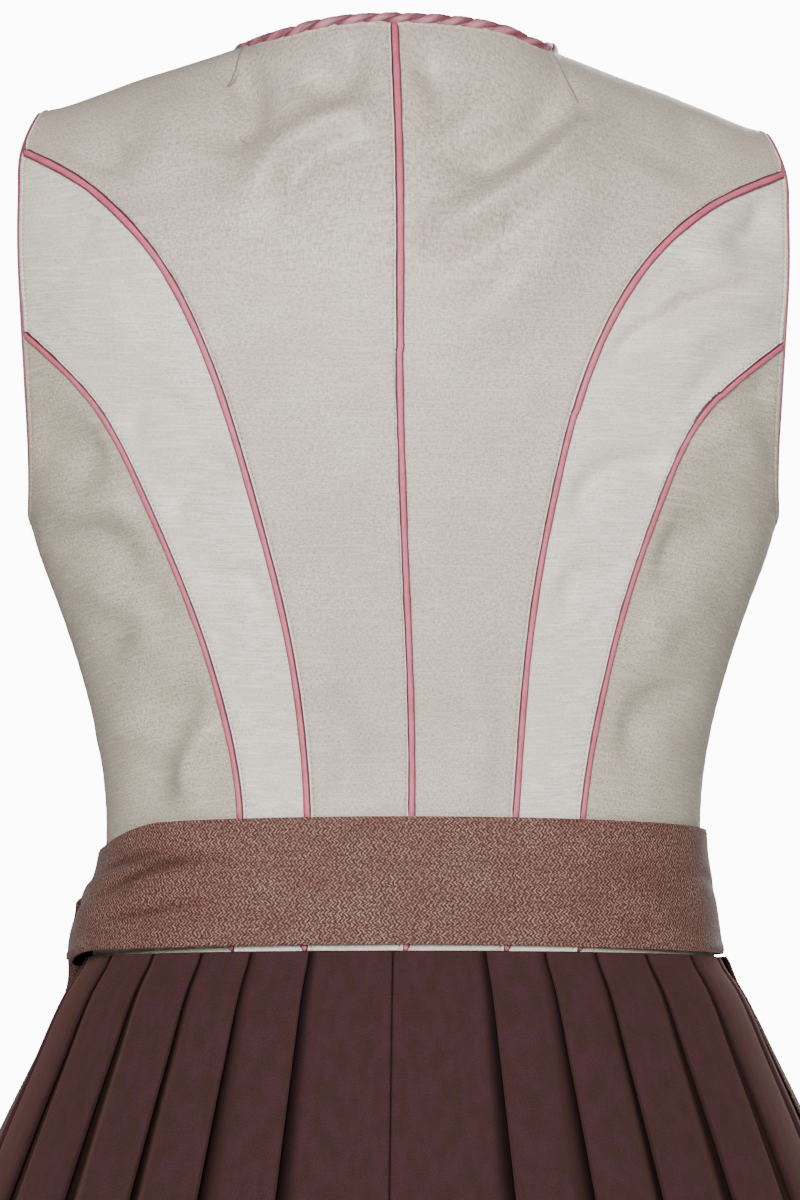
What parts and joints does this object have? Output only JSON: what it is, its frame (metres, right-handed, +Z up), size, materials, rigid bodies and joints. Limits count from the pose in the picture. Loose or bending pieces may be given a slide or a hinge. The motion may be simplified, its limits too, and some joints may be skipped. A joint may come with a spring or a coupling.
{
  "type": "dirndl",
  "caption": "Sleeveless dirndl with piped bodice seams, a pleated midi skirt and a gathered apron tied in a bow, filled out as worn and hollow inside.",
  "frame": {"origin": "midway between the two neck points of the shoulder seams", "axes": "+Z up along the wearer, +X to the wearer's left, -Y to the wearer's front"},
  "size_m": [0.6936, 0.6053, 1.1096],
  "materials": {
    "bodice_silk": "slubbed shantung silk, soft sheen",
    "satin_piping": "corded satin piping",
    "satin_braid": "twisted satin braid",
    "skirt_wool": "matt plain-weave cotton and wool, pressed pleats",
    "apron_jacquard": "silk jacquard with a chevron figure, soft sheen"
  },
  "bodies": {
    "root": {"back_centre_left": "bodice_silk", "back_centre_right": "bodice_silk", "back_middle_left": "bodice_silk", "back_middle_right": "bodice_silk", "back_side_left": "bodice_silk", "back_side_right": "bodice_silk", "front_side_left": "bodice_silk", "front_side_right": "bodice_silk", "front_centre_left": "bodice_silk", "front_centre_right": "bodice_silk", "piping_centre_back": "satin_piping", "piping_inner_left": "satin_piping", "piping_inner_right": "satin_piping", "piping_outer_left": "satin_piping", "piping_outer_right": "satin_piping", "piping_armhole_left": "satin_piping", "piping_armhole_right": "satin_piping", "neck_braid": "satin_braid", "skirt_back_left": "skirt_wool", "skirt_back_right": "skirt_wool", "skirt_front": "skirt_wool", "apron_cloth": "apron_jacquard", "apron_band": "apron_jacquard", "bow_knot": "apron_jacquard", "bow_loop_left": "apron_jacquard", "bow_loop_right": "apron_jacquard", "bow_tail_left": "apron_jacquard", "bow_tail_right": "apron_jacquard"}
  },
  "joints": []
}
